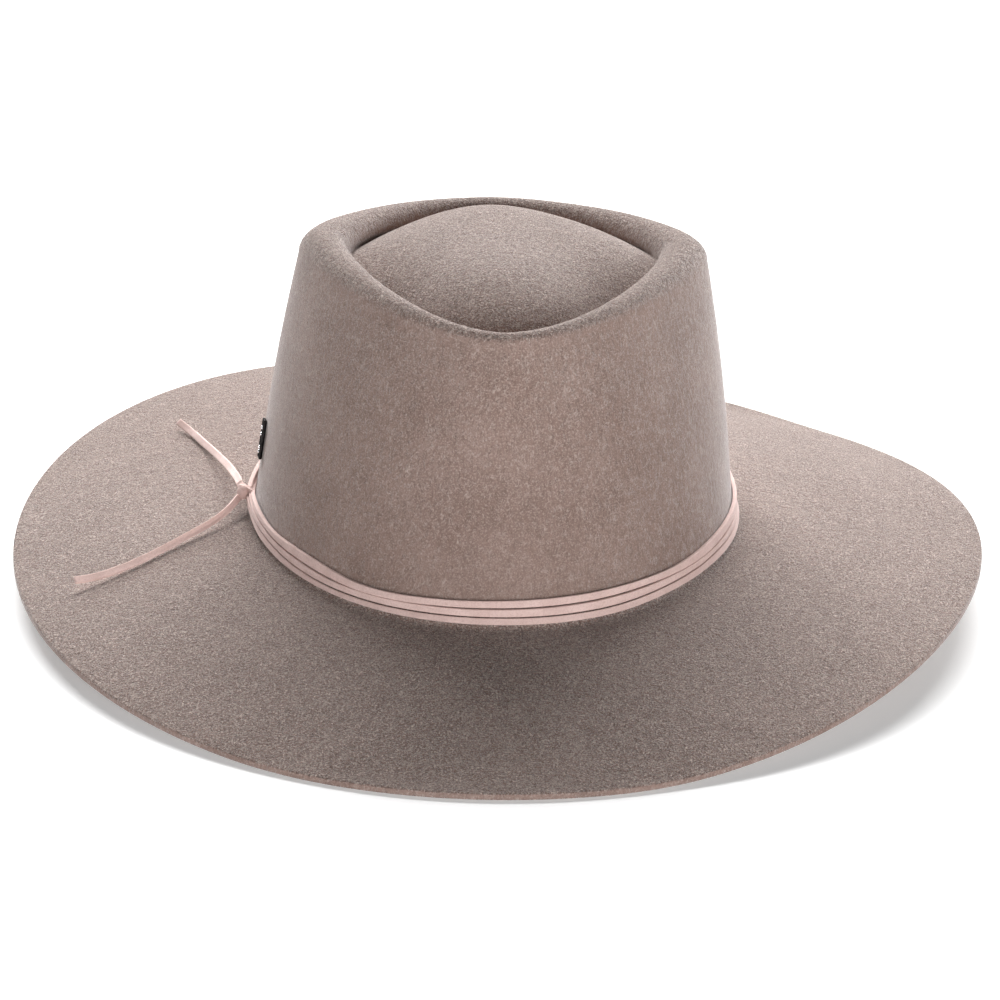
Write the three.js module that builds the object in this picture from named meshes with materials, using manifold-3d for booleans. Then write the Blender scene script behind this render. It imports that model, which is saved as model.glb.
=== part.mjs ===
import * as THREE from "three";
import { mergeVertices } from "three/addons/utils/BufferGeometryUtils.js";
import Module from "manifold-3d";

// A wide-brim felt fedora, in millimetres, +Z up. It stands on its brim on the plane z = 0.
// The front is -Y and the wearer's left is +X. The box round the felt is centred over the origin.
// A turn of 0 degrees is the wearer's left, 90 the back, 180 the right and 270 the front.

// Felt body
const felt = 2.5; // thickness of the felt everywhere
const headWidth = 168; // across the outside of the crown's foot
const headLength = 204; // front to back over the outside of the crown's foot
const crownHeight = 102; // from the brim's break to the ridge of the crown
const wallSwell = 1.2; // how far the crown wall's middle stands out from a straight line
const rollHollow = 5.9; // inside radius of the rolled ridge at the sides
const breakRadius = 5; // hollow turn between crown wall and brim
const brimWidth = 86; // from the crown's foot to the brim's edge
const brimDrop = 13.6; // how far the brim's edge lies under the break, on average
const brimBend = 1.15; // 1 is a straight brim, more droops towards the edge
const restPress = 2.2; // how deep the brim's lowest stretches are pressed flat where the hat rests

// Lace wound round the crown's foot, and its knot
const laceWidth = 2.6; // height of one strand on the crown
const laceThickness = 1.5;
const laceSpacing = 0.3; // between two strands
const laceFoot = 1.6; // lower edge of the lowest strand above the break
const laceCount = 3;
const gatheredWidth = 1.4; // height of a strand squeezed by the knot
const gatheredThickness = 1.9;
const leadLength = 24; // stretch beside the knot where the strands leave the crown and gather
const knotLength = 6;
const knotRise = 0.9; // from the middle of the strands up to the middle of the knot
const knotWrap = 0.6; // how far the knot covers the gathered strands
const knotClearance = 0.8; // from the crown wall to the knot
const knotTurn = 180;

// Small metal plate on the crown's side
const plateWidth = 4;
const plateHeight = 14.4;
const plateThickness = 1.1;
const plateBevel = 0.25;
const plateCorner = 0.6;
const plateMiddle = 29.3; // above the break
const plateTurn = 184;
const studRadius = 0.7;
const studTop = 0.5; // radius of a stud's flat top
const studRise = 0.35;
const studPlaces = [0.17, 0.275, 0.62, 0.78]; // shares of the plate's height, from its foot up

// Clearance between touching pieces
const gap = 0.3;

// Ovals of the crown, from the foot up. left and right are shares of half the head's width, front
// and back are shares of half its length. The powers across and along are 2 for an ellipse: less
// across makes the front and back more pointed, less along the sides.
const ovals = {
  foot: { left: 1, right: 1, front: 1, back: 1, across: 2, along: 2 },
  ridge: { left: 0.765, right: 0.715, front: 0.795, back: 0.677, across: 1.7, along: 1.36 },
  crease: { left: 0.651, right: 0.606, front: 0.697, back: 0.662, across: 1.89, along: 1.49 },
};

// Heights over the break as shares of the crown's height, and the roll's hollow as a share of its own.
const heights = {
  ridge: { left: 0.992, right: 1.02, front: 0.941, back: 0.91 },
  crease: { left: 0.907, right: 0.917, front: 0.745, back: 0.79 },
  hollow: { left: 1, right: 1, front: 0.12, back: 0.42 },
};

// Middle of the dome inside the crease, as shares of half the head's width and length, and its height.
const dome = { left: -0.01, back: 0.152, height: 0.995, fullness: 3.1 };

// The brim's reach on each side as shares of the brim's width.
const brimReach = { left: 1.017, right: 0.985, front: 0.968, back: 1.039 };

// Waves of the brim's edge. rise is a share of the brim's drop, and high is the turn of a crest.
const brimWaves = [
  { waves: 1, rise: 0.115, high: 106 },
  { waves: 2, rise: 0.561, high: 160.5 },
  { waves: 3, rise: 0.191, high: 113.8 },
];

// The knot's two loose lace ends, from the knot over the brim to the cut end. Points chosen by hand.
const tailRoutes = {
  back: [
    [-90.7, 0.4, 31.0],
    [-91.7, 6.5, 30.6],
    [-93.0, 13.5, 29.5],
    [-94.5, 21.5, 28.1],
    [-96.2, 29.5, 26.7],
    [-98.0, 37.0, 25.4],
    [-99.9, 44.0, 24.3],
    [-101.8, 50.5, 23.4],
    [-103.7, 56.5, 22.6],
    [-105.6, 62.0, 22.0],
    [-107.5, 67.3, 21.6],
    [-109.4, 72.3, 21.3],
    [-111.3, 76.5, 21.2],
    [-113.3, 80.0, 21.4],
    [-115.5, 83.2, 21.9],
  ],
  front: [
    [-91.8, -6.3, 27.7],
    [-94.1, -10.9, 26.5],
    [-97.2, -15.3, 25.2],
    [-101.0, -19.4, 24.0],
    [-104.9, -23.1, 23.0],
    [-108.8, -26.7, 22.1],
    [-112.8, -30.3, 21.2],
    [-116.7, -33.8, 20.3],
    [-120.6, -37.3, 19.5],
    [-124.6, -40.6, 18.8],
    [-128.7, -43.7, 18.1],
    [-132.9, -46.5, 17.5],
    [-137.1, -49.0, 17.1],
    [-141.4, -51.2, 16.9],
    [-145.8, -53.0, 17.0],
  ],
};

// Fineness of the faceted felt and lace
const segments = 64;
const domeRows = [0.3, 0.55, 0.75, 0.9, 1];
const rollRows = 5;
const wallRows = 5;
const breakRows = 3;
const brimRows = [0.08, 0.25, 0.45, 0.65, 0.82, 0.93, 1];
const laceSteps = 88;
const tailSteps = 16;
const tailEdge = 0.4; // how far the lace's corners are rounded off
const knotSides = 12;
const studSides = 10;

const rad = THREE.MathUtils.degToRad;
const { lerp, smoothstep } = THREE.MathUtils;

// A row's value at a turn, blended from its sides and ends.
function blend(row, turn) {
  const side = Math.cos(turn) >= 0 ? row.left : row.right;
  const end = Math.sin(turn) < 0 ? row.front : row.back;
  return lerp(side, end, Math.sin(turn) ** 2);
}

// Point of an oval with its own reach to each side, in plan round the crown's middle.
function ovalPoint(row, turn) {
  const c = Math.cos(turn);
  const s = Math.sin(turn);
  const across = (c >= 0 ? row.left : row.right) * Math.abs(c) ** (2 / row.across);
  const along = (s < 0 ? row.front : row.back) * Math.abs(s) ** (2 / row.along);
  return new THREE.Vector2(Math.sign(c) * across, Math.sign(s) * along);
}

function crownOval(row, turn) {
  return ovalPoint(row, turn).multiply(new THREE.Vector2(headWidth / 2, headLength / 2));
}

// How far the brim's edge lies under the break before it is pressed on the surface below.
function edgeDrop(turn) {
  let rise = 0;
  for (const row of brimWaves) {
    rise += row.rise * Math.cos(row.waves * (turn - rad(row.high)));
  }
  return brimDrop * (1 - rise);
}

function lowestDrop() {
  let lowest = 0;
  for (let degree = 0; degree < 360; degree += 1) {
    lowest = Math.max(lowest, edgeDrop(rad(degree)));
  }
  return lowest;
}

// The felt's top face lies this far over the plane z = 0 at the break.
const restDrop = lowestDrop() - restPress;
const breakHeight = felt + restDrop;

// Middle of the crown in plan, which puts the middle of the brim's box over the origin.
const crownMiddle = new THREE.Vector2(
  (brimWidth * (brimReach.right - brimReach.left)) / 2,
  (brimWidth * (brimReach.front - brimReach.back)) / 2,
);

// A point of the hat from its plan round the crown's middle and its height over the break.
function place(plan, height) {
  return new THREE.Vector3(crownMiddle.x + plan.x, crownMiddle.y + plan.y, breakHeight + height);
}

// Plan points and directions of the crown at one turn.
function crownPlan(turn) {
  const foot = crownOval(ovals.foot, turn);
  const ridge = crownOval(ovals.ridge, turn);
  const crease = crownOval(ovals.crease, turn);
  const out = foot.clone().sub(crease).normalize();
  const roll = felt + rollHollow * blend(heights.hollow, turn);
  const ridgeHeight = crownHeight * blend(heights.ridge, turn);
  const creaseHeight = crownHeight * blend(heights.crease, turn);
  return { foot, ridge, crease, out, roll, rollHeight: ridgeHeight - roll, creaseHeight };
}

const domeMiddle = new THREE.Vector2((dome.left * headWidth) / 2, (dome.back * headLength) / 2);
const domeHeight = crownHeight * dome.height;

// Rows of the dome and the crease's inner side, from the middle outwards.
function domeSection(turn) {
  const { ridge, crease, out, roll, rollHeight, creaseHeight } = crownPlan(turn);
  const points = domeRows.map((share) =>
    place(
      domeMiddle.clone().lerp(crease, share),
      lerp(domeHeight, creaseHeight, share ** dome.fullness),
    ),
  );
  const inside = ridge.clone().addScaledVector(out, -roll);
  points.push(place(crease.clone().lerp(inside, 0.5), lerp(creaseHeight, rollHeight, 0.5)));
  return points;
}

// Rows over the rolled ridge, from its inner side to its outer side.
function rollSection(turn) {
  const { ridge, out, roll, rollHeight } = crownPlan(turn);
  const points = [];
  for (let row = 0; row <= rollRows; row += 1) {
    const angle = Math.PI * (1 - row / rollRows);
    const plan = ridge.clone().addScaledVector(out, roll * Math.cos(angle));
    points.push(place(plan, rollHeight + roll * Math.sin(angle)));
  }
  return points;
}

// Rows down the crown's outer wall and round the break, under the rolled ridge.
function wallSection(turn) {
  const { foot, ridge, out, roll, rollHeight } = crownPlan(turn);
  const top = ridge.clone().addScaledVector(out, roll);
  const points = [];
  for (let row = 1; row <= wallRows; row += 1) {
    const share = row / wallRows;
    const plan = top.clone().lerp(foot, share);
    plan.addScaledVector(out, wallSwell * 4 * share * (1 - share));
    points.push(place(plan, lerp(rollHeight, breakRadius, share)));
  }
  for (let row = 1; row <= breakRows; row += 1) {
    const angle = ((Math.PI / 2) * row) / breakRows;
    const plan = foot.clone().addScaledVector(out, breakRadius * (1 - Math.cos(angle)));
    points.push(place(plan, breakRadius * (1 - Math.sin(angle))));
  }
  return points;
}

// Rows of the brim's top face from the break to the edge, pressed flat at the height of rest.
function brimSection(turn) {
  const { foot, out } = crownPlan(turn);
  const start = foot.clone().addScaledVector(out, breakRadius);
  const edgeOval = {
    across: ovals.foot.across,
    along: ovals.foot.along,
    left: headWidth / 2 + brimWidth * brimReach.left,
    right: headWidth / 2 + brimWidth * brimReach.right,
    front: headLength / 2 + brimWidth * brimReach.front,
    back: headLength / 2 + brimWidth * brimReach.back,
  };
  const edge = ovalPoint(edgeOval, turn);
  return brimRows.map((share) => {
    const drop = edgeDrop(turn) * share ** brimBend;
    return place(start.clone().lerp(edge, share), -Math.min(drop, restDrop));
  });
}

// Turns of the felt's facets, and one ring of points for each row of a section.
const turns = Array.from({ length: segments }, (_, index) => (2 * Math.PI * index) / segments);
function ringsOf(section) {
  const sections = turns.map(section);
  return sections[0].map((_, row) => sections.map((points) => points[row]));
}

// The rings moved under the felt's top face by its thickness, square to the face.
function ringsUnder(rings, middle) {
  return rings.map((ring, row) => {
    const inner = rings[row - 1];
    const outer = rings[row + 1] ?? ring;
    return ring.map((point, index) => {
      const along = outer[index].clone().sub(inner ? inner[index] : middle);
      const before = ring[(index + segments - 1) % segments];
      const around = ring[(index + 1) % segments].clone().sub(before);
      return point.clone().addScaledVector(along.cross(around).normalize(), -felt);
    });
  });
}

// A closed skin over rings of points, with a fan to a middle point at each end.
function skin(rings, firstMiddle, lastMiddle) {
  const count = rings[0].length;
  const points = [...rings.flat(), firstMiddle, lastMiddle];
  const first = points.length - 2;
  const last = points.length - 1;
  const lastRow = (rings.length - 1) * count;
  const faces = [];
  for (let index = 0; index < count; index += 1) {
    const next = (index + 1) % count;
    faces.push(first, index, next);
    faces.push(last, lastRow + next, lastRow + index);
    for (let row = 0; row < lastRow; row += count) {
      faces.push(row + index, row + count + index, row + count + next);
      faces.push(row + index, row + count + next, row + next);
    }
  }
  const geometry = new THREE.BufferGeometry().setFromPoints(points);
  geometry.setIndex(faces);
  geometry.computeVertexNormals();
  return geometry;
}

function feltBody() {
  const top = place(domeMiddle, domeHeight);
  const crown = [...ringsOf(domeSection), ...ringsOf(rollSection), ...ringsOf(wallSection)];
  const brim = ringsOf(brimSection);
  const crownUnder = ringsUnder(crown, top);
  const down = new THREE.Vector3(0, 0, -felt);
  const brimUnder = brim.map((ring) => ring.map((point) => point.clone().add(down)));
  const rings = [...crown, ...brim, ...brimUnder.reverse(), ...crownUnder.reverse()];
  return skin(rings, top, top.clone().add(down));
}

// Point on the crown's outer face at a turn and a height over the break, moved out by stand.
function onWall(turn, height, stand) {
  const { out } = crownPlan(turn);
  const points = wallSection(turn);
  const level = breakHeight + height;
  const row = points.findIndex((point) => point.z <= level);
  const share = (level - points[row].z) / (points[row - 1].z - points[row].z);
  const point = points[row].clone().lerp(points[row - 1], share);
  return point.add(new THREE.Vector3(out.x * stand, out.y * stand, 0));
}

const lacePitch = laceWidth + laceSpacing;
const gatheredPitch = gatheredWidth + gap;
const knotRadius = (laceCount * gatheredPitch - gap) / 2 + knotWrap;
const knotStand = knotClearance + knotRadius;
const laceMiddle = laceFoot + (laceCount * lacePitch - laceSpacing) / 2;
const knotHeight = laceMiddle + knotRise;
const knotMiddle = onWall(rad(knotTurn), knotHeight, knotStand);

// One strand of the lace, once round the crown from one side of the knot to the other.
function laceStrand(strand) {
  const offset = strand - (laceCount - 1) / 2;
  const side = headLength / 2;
  const knotHalf = (knotLength / 2 + gap) / side;
  const lead = leadLength / side;
  const gatheredStand = knotStand - knotRadius / 2;
  const sections = [];
  for (let step = 0; step <= laceSteps; step += 1) {
    const past = lerp(knotHalf, 2 * Math.PI - knotHalf, step / laceSteps);
    const free = smoothstep(Math.min(past, 2 * Math.PI - past), knotHalf, lead);
    const turn = rad(knotTurn) + past;
    const width = lerp(gatheredWidth, laceWidth, free);
    const thickness = lerp(gatheredThickness, laceThickness, free);
    const pitch = lerp(gatheredPitch, lacePitch, free);
    const stand = lerp(gatheredStand, gap + laceThickness / 2, free);
    const middle = lerp(knotHeight, laceMiddle, free);
    const low = middle + offset * pitch - width / 2;
    const inner = stand - thickness / 2;
    const outer = stand + thickness / 2;
    sections.push([
      onWall(turn, low, outer),
      onWall(turn, low + width, outer),
      onWall(turn, low + width, inner),
      onWall(turn, low, inner),
    ]);
  }
  return skin(sections, middleOf(sections[0]), middleOf(sections.at(-1)));
}

function middleOf(points) {
  const sum = new THREE.Vector3();
  for (const point of points) sum.add(point);
  return sum.divideScalar(points.length);
}

// A loose end of the lace. The section's x is the lace's thickness and y its width.
function laceTail(route) {
  const x = laceThickness / 2;
  const y = laceWidth / 2;
  const corners = [
    [x, y - tailEdge],
    [x - tailEdge, y],
    [tailEdge - x, y],
    [-x, y - tailEdge],
    [-x, tailEdge - y],
    [tailEdge - x, -y],
    [x - tailEdge, -y],
    [x, tailEdge - y],
  ];
  const section = new THREE.Shape(corners.map((corner) => new THREE.Vector2(...corner)));
  const path = new THREE.CatmullRomCurve3(route.map((point) => new THREE.Vector3(...point)));
  return new THREE.ExtrudeGeometry(section, { steps: tailSteps, extrudePath: path });
}

// The knot is a short barrel with two turns of lace round it, turned about Y.
function knotBody() {
  const profile = [
    [0, -1],
    [0.62, -1],
    [0.9, -0.75],
    [1, -0.4],
    [0.9, 0],
    [1, 0.4],
    [0.9, 0.75],
    [0.62, 1],
    [0, 1],
  ];
  const points = profile.map(
    ([reach, along]) => new THREE.Vector2(reach * knotRadius, (along * knotLength) / 2),
  );
  return new THREE.LatheGeometry(points, knotSides);
}

const wasm = await Module();
wasm.setup();

function toSolid(geometry) {
  const bare = geometry.clone();
  bare.deleteAttribute("normal");
  bare.deleteAttribute("uv");
  const merged = mergeVertices(bare);
  const vertProperties = new Float32Array(merged.attributes.position.array);
  const triVerts = new Uint32Array(merged.index.array);
  return new wasm.Manifold(new wasm.Mesh({ numProp: 3, vertProperties, triVerts }));
}

function toGeometry(solid) {
  const mesh = solid.getMesh();
  const geometry = new THREE.BufferGeometry();
  geometry.setAttribute("position", new THREE.BufferAttribute(mesh.vertProperties, 3));
  geometry.setIndex(new THREE.BufferAttribute(mesh.triVerts, 1));
  geometry.computeVertexNormals();
  return geometry;
}

// The plate with its row of studs. Its back lies in the plane z = 0 and y runs up the crown.
function plateBody() {
  const x = plateWidth / 2 - plateBevel;
  const y = plateHeight / 2 - plateBevel;
  const outline = new THREE.Shape();
  outline.absarc(x - plateCorner, y - plateCorner, plateCorner, 0, rad(90));
  outline.absarc(plateCorner - x, y - plateCorner, plateCorner, rad(90), rad(180));
  outline.absarc(plateCorner - x, plateCorner - y, plateCorner, rad(180), rad(270));
  outline.absarc(x - plateCorner, plateCorner - y, plateCorner, rad(270), rad(360));
  const slab = new THREE.ExtrudeGeometry(outline, {
    depth: plateThickness - 2 * plateBevel,
    bevelThickness: plateBevel,
    bevelSize: plateBevel,
    bevelSegments: 1,
    curveSegments: 3,
  });
  slab.translate(0, 0, plateBevel);
  let plate = toSolid(slab);
  const studHeight = studRise + plateThickness / 2;
  for (const share of studPlaces) {
    const round = new THREE.CylinderGeometry(studTop, studRadius, studHeight, studSides);
    round.rotateX(rad(90));
    const along = plateHeight * (share - 0.5);
    round.translate(0, along, plateThickness + studRise - studHeight / 2);
    plate = plate.add(toSolid(round));
  }
  return toGeometry(plate);
}

const feltMaterial = new THREE.MeshStandardMaterial({ color: 0x9c8880, roughness: 0.95, metalness: 0 });
const laceMaterial = new THREE.MeshStandardMaterial({ color: 0xcfb3ac, roughness: 0.85, metalness: 0 });

const plateMaterial = new THREE.MeshStandardMaterial({ color: 0x2b2827, roughness: 0.4, metalness: 0.9 });

const hat = new THREE.Group();

function add(name, geometry, material) {
  const mesh = new THREE.Mesh(geometry, material);
  mesh.name = name;
  hat.add(mesh);
  return mesh;
}

add("felt_body", feltBody(), feltMaterial);
for (let strand = 0; strand < laceCount; strand += 1) {
  add(`lace_wrap_${strand + 1}`, laceStrand(strand), laceMaterial);
}

const knot = add("lace_knot", knotBody(), laceMaterial);
knot.position.copy(knotMiddle);
knot.rotation.z = crownPlan(rad(knotTurn)).out.angle();

add("lace_tail_back", laceTail(tailRoutes.back), laceMaterial);
add("lace_tail_front", laceTail(tailRoutes.front), laceMaterial);

// The plate stands on the crown wall and leans with it.
const plate = add("side_plate", plateBody(), plateMaterial);
const plateFoot = onWall(rad(plateTurn), plateMiddle - plateHeight / 2, gap);
const plateHead = onWall(rad(plateTurn), plateMiddle + plateHeight / 2, gap);
const plateOut = crownPlan(rad(plateTurn)).out;
const plateUp = plateHead.clone().sub(plateFoot);
const plateSide = new THREE.Vector3(-plateOut.y, plateOut.x, 0);
plate.position.copy(plateFoot).lerp(plateHead, 0.5);
plate.up.copy(plateUp);
plate.lookAt(plate.position.clone().add(plateSide.cross(plateUp)));

export default hat;
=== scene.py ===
"""A wide-brim felt fedora with a suede lace round its crown, standing on a pale floor, in metres.

The front is -Y and the wearer's left is +X. A turn of 0 degrees is the wearer's left, 90 the back,
180 the right and 270 the front.
"""

import math

import bmesh
import bpy
import numpy as np
from mathutils import Matrix, Vector


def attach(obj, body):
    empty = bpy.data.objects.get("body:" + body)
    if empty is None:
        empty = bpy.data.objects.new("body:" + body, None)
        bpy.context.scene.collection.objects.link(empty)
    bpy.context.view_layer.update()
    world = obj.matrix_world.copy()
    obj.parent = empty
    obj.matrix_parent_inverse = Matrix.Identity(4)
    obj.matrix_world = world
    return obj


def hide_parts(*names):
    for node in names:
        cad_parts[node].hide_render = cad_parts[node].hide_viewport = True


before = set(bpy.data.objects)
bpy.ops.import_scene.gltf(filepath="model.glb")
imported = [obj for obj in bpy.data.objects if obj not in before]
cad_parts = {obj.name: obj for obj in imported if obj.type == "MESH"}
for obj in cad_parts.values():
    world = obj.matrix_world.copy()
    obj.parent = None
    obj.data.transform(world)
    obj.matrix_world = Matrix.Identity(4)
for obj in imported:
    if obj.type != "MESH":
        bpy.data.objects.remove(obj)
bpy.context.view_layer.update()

MM = 0.001

# Felt body, with the same sizes as the solid that it replaces
FELT = 2.5 * MM
HEAD_WIDTH = 168 * MM
HEAD_LENGTH = 204 * MM
CROWN_HEIGHT = 102 * MM
WALL_SWELL = 1.2 * MM
ROLL_HOLLOW = 5.9 * MM
BREAK_RADIUS = 5 * MM
BRIM_WIDTH = 86 * MM
BRIM_DROP = 13.6 * MM
BRIM_BEND = 1.15
REST_PRESS = 2.2 * MM
REST_SOFTNESS = 1.2 * MM
OVALS = {
    "foot": dict(left=1, right=1, front=1, back=1, across=2, along=2),
    "ridge": dict(left=0.765, right=0.715, front=0.795, back=0.677, across=1.7, along=1.36),
    "crease": dict(left=0.651, right=0.606, front=0.697, back=0.662, across=1.89, along=1.49),
}
HEIGHTS = {
    "ridge": dict(left=0.992, right=1.02, front=0.941, back=0.91),
    "crease": dict(left=0.907, right=0.917, front=0.745, back=0.79),
    "hollow": dict(left=1, right=1, front=0.12, back=0.42),
}
DOME = dict(left=-0.01, back=0.152, height=0.995, fullness=3.1)
# The felt is drawn in a little at the dome's two front flanks, at these turns and over this span in
# degrees, and stands fuller between them
FLANK_DROP = 4.2 * MM
FLANK_TURNS = (222, 318)
FLANK_SPAN = 20
FRONT_FULLNESS = 1.3
# The crown's ovals come to a point at each side, rounded off over so many degrees to each side of a turn
POINT_REACH = 7
POINT_STEPS = 9
BRIM_REACH = dict(left=1.017, right=0.985, front=0.968, back=1.039)
BRIM_WAVES = [
    dict(waves=1, rise=0.115, crest=106),
    dict(waves=2, rise=0.561, crest=160.5),
    dict(waves=3, rise=0.191, crest=113.8),
]
SEGMENTS = 320
ROWS = dict(dome=20, groove=6, roll=12, wall=28, bend=6, brim=34)
EDGE_ROUND = 0.7 * MM
EDGE_STEPS = 5
UNEVEN_RISE = 0.22 * MM
UNEVEN_LENGTH = 60 * MM
# The part of the brim that rests stays flat: the unevenness starts over this height
UNEVEN_START = 4 * MM

# Lace
LACE_WIDTH = 2.6 * MM
LACE_THICKNESS = 1.5 * MM
LACE_CORNER = 0.35 * MM
TAIL_THICKNESS = 1.2 * MM
STRAND_STEPS = 600
STRAND_LEAN = math.radians(5)
TAIL_STEPS = 150
TAIL_SWAY = math.radians(3)
KNOT_TURN = math.radians(180)
KNOT_HEIGHT = 6.7 * MM
COLLAR_STAND = 3.35 * MM
COLLAR_REACH = 2.35 * MM
COLLAR_HEIGHT = 1.7 * MM
COLLAR_TILT = 0.9 * MM
COLLAR_SQUARE = 0.62
COLLAR_SLANT = 0.8 * MM
COLLAR_TWIST = 0.25 * MM
COLLAR_WIDTH = 2.5 * MM
COLLAR_THICKNESS = 1.15 * MM
FOLD_MIDDLE = np.array([-1.1, -0.1, 0.15]) * MM
FOLD_HALF = np.array([2.3, 2.8, 2.6]) * MM

# The three strands round the crown, the lowest first, from the knot's near side round to its far
# side. Each row is a turn in degrees and, in millimetres, the strand's lower and upper edge over the
# break and its middle line's distance from the felt.
STRANDS = (
    (
        (180, 5.1, 7.0, 2.75), (184, 4.1, 6.1, 2.05), (188, 3.3, 5.2, 1.45), (192, 2.8, 4.8, 1.1),
        (196, 2.6, 4.85, 0.95), (200, 2.5, 4.8, 0.95), (206, 2.4, 4.73, 0.95), (212, 2.2, 4.28, 0.95),
        (218, 2.05, 3.93, 0.95), (224, 1.85, 3.63, 0.95), (230, 1.65, 3.38, 0.95), (242, 1.55, 3.38, 0.95),
        (248, 1.55, 3.53, 0.95), (254, 1.6, 3.68, 0.95), (268, 1.65, 3.88, 0.95), (280, 1.5, 3.78, 0.95),
        (293, 1.4, 3.68, 0.95), (300, 1.6, 3.88, 0.95), (306, 2, 4.28, 0.95), (312, 2.3, 4.58, 0.95),
        (318, 2.45, 4.78, 0.95), (324, 2.5, 4.88, 0.95), (330, 2.4, 5.08, 0.95), (336, 2.1, 4.78, 0.95),
        (343, 1.75, 4.13, 0.95), (360, 1.6, 4.03, 0.95), (400, 1.6, 4.13, 0.95), (450, 1.7, 4.13, 0.95),
        (500, 2.2, 4.63, 0.95), (518, 2.6, 5.03, 0.95), (531, 3.3, 5.63, 0.95), (535, 4, 6.13, 1.1),
        (540, 5, 6.93, 1.5),
    ),
    (
        (180, 5.9, 7.5, 1.9), (184, 5.4, 7.4, 1.5), (188, 5.1, 7.1, 1.2), (192, 5.1, 7.1, 1.1),
        (196, 5.3, 7.2, 1.05), (200, 5.3, 7.2, 0.95), (206, 5.17, 7.0, 0.95), (212, 4.72, 6.88, 0.95),
        (218, 4.37, 6.83, 0.95), (224, 4.07, 6.23, 0.95), (230, 3.87, 6, 0.95), (242, 3.87, 6.05, 0.95),
        (248, 4.02, 6.3, 0.95), (254, 4.17, 6.5, 0.95), (268, 4.32, 6.88, 0.95), (280, 4.22, 6.98, 0.95),
        (293, 4.12, 6.98, 0.95), (300, 4.32, 7.18, 0.95), (306, 4.72, 7.23, 0.95), (312, 5.02, 7.4, 0.95),
        (318, 5.22, 7.35, 0.95), (324, 5.27, 7.3, 0.95), (330, 5.47, 7.3, 0.95), (336, 5.22, 7.28, 0.95),
        (343, 4.57, 7.13, 0.95), (360, 4.47, 6.9, 0.95), (400, 4.52, 7, 0.95), (450, 4.57, 7.1, 0.95),
        (500, 5.07, 7.5, 0.95), (518, 5.37, 7.7, 0.75), (526, 5.67, 7.8, 0.75), (531, 5.6, 7.5, 0.75),
        (535, 5.5, 7.2, 0.85), (540, 5.4, 7.1, 1.2),
    ),
    (
        (180, 5.6, 7.3, 1.1), (184, 6.5, 8.5, 1.0), (188, 7.1, 9.2, 0.95), (192, 7.4, 9.5, 0.95),
        (196, 7.6, 9.5, 0.95), (200, 7.6, 9.4, 0.95), (206, 7.4, 9.5, 0.95), (212, 7.32, 10.2, 0.95),
        (218, 7.27, 10.25, 0.95), (224, 6.77, 9.9, 0.95), (230, 6.3, 8.9, 0.95), (236, 5.95, 8.35, 0.95),
        (242, 6.05, 8.3, 0.95), (248, 6.3, 8.7, 0.95), (254, 6.75, 9.1, 0.95), (260, 7.02, 9.4, 0.95),
        (268, 7.37, 9.8, 0.95), (280, 7.42, 10, 0.95), (293, 7.42, 10, 0.95), (300, 7.62, 10, 0.95),
        (306, 7.67, 9.95, 0.95), (312, 7.5, 9.8, 0.95), (318, 7.4, 9.9, 0.95), (324, 7.35, 10.3, 0.95),
        (330, 7.4, 10.6, 0.95), (336, 7.77, 10.8, 0.95), (343, 7.57, 10.7, 0.95), (360, 7.2, 9.8, 0.95),
        (400, 7.3, 9.9, 0.95), (450, 7.4, 10, 0.95), (500, 7.8, 10.3, 0.6), (518, 8, 10.5, 0.45),
        (526, 8.2, 10.5, 0.65), (531, 7.9, 10.1, 1.15), (535, 7.3, 9.3, 1.8), (540, 6.2, 8.1, 2.6),
    ),
)

# Small metal plate over the knot
PLATE_WIDTH = 4 * MM
PLATE_HEIGHT = 14.4 * MM
PLATE_THICKNESS = 1.1 * MM
PLATE_CORNER = 0.6 * MM
PLATE_BEVEL = 0.25 * MM
PLATE_FRAME = 0.6 * MM
PLATE_SINK = 0.15 * MM
PLATE_MIDDLE = 29.3 * MM
PLATE_TURN = math.radians(184)
PLATE_STAND = 0.2 * MM
STUD_RADIUS = 0.7 * MM
STUD_RISE = 0.35 * MM
STUD_PLACES = (0.17, 0.275, 0.62, 0.78)

# The lace's loose ends, the same points as in the part's source, from the knot to the cut end
TAIL_ROUTES = {
    "back": [
        (-0.0907, 0.0004, 0.0310), (-0.0917, 0.0065, 0.0306), (-0.0930, 0.0135, 0.0295),
        (-0.0945, 0.0215, 0.0281), (-0.0962, 0.0295, 0.0267), (-0.0980, 0.0370, 0.0254),
        (-0.0999, 0.0440, 0.0243), (-0.1018, 0.0505, 0.0234), (-0.1037, 0.0565, 0.0226),
        (-0.1056, 0.0620, 0.0220), (-0.1075, 0.0673, 0.0216), (-0.1094, 0.0723, 0.0213),
        (-0.1113, 0.0765, 0.0212), (-0.1133, 0.0800, 0.0214), (-0.1155, 0.0832, 0.0219),
    ],
    "front": [
        (-0.0918, -0.0063, 0.0277), (-0.0941, -0.0109, 0.0265), (-0.0972, -0.0153, 0.0252),
        (-0.1010, -0.0194, 0.0240), (-0.1049, -0.0231, 0.0230), (-0.1088, -0.0267, 0.0221),
        (-0.1128, -0.0303, 0.0212), (-0.1167, -0.0338, 0.0203), (-0.1206, -0.0373, 0.0195),
        (-0.1246, -0.0406, 0.0188), (-0.1287, -0.0437, 0.0181), (-0.1329, -0.0465, 0.0175),
        (-0.1371, -0.0490, 0.0171), (-0.1414, -0.0512, 0.0169), (-0.1458, -0.0530, 0.0170),
    ],
}
# How a loose end is tilted about its own line, in degrees, and curled lengthwise, from knot to end
TAIL_TILTS = {"back": (35, 48, 50, 48, 42), "front": (62, 58, 50, 42, 38)}
TAIL_CURLS = {"back": (0.15, 0.05, 0, 0, 0), "front": (0.75, 0.8, 0.45, 0.12, 0.05)}

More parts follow.
